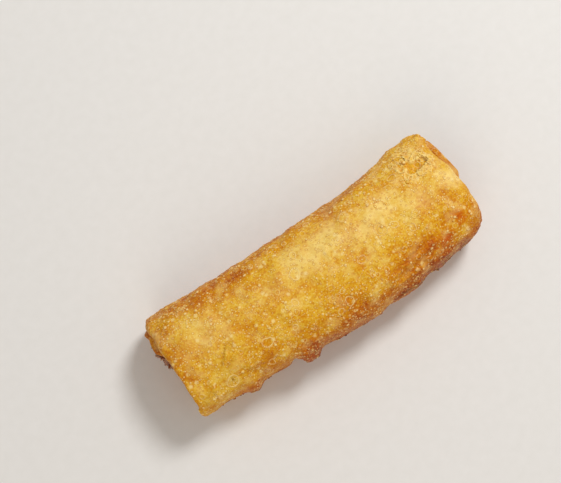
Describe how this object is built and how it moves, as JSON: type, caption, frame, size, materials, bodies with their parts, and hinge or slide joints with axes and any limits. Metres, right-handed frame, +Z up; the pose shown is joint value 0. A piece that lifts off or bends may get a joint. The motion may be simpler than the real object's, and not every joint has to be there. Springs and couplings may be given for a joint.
{
  "type": "fried spring roll",
  "caption": "Deep-fried spring roll lying on its flat underside, with a blistered golden wrapper, folded ends and some filling showing at one end.",
  "frame": {"origin": "centre of the roll's footprint, on the surface that it lies on", "axes": "+X along the roll's length, from the end where filling shows to the end with the broken blister; +Z up"},
  "size_m": [0.1082, 0.039, 0.0274],
  "materials": {
    "crust": "deep-fried wheat wrapper, crisp and blistered, pale gold on top and orange-brown at the edges, slightly oily",
    "filling": "moist cooked shreds of cabbage, carrot and meat, pinkish brown"
  },
  "bodies": {
    "root": {"wrapper": "crust", "filling": "filling"}
  },
  "joints": []
}
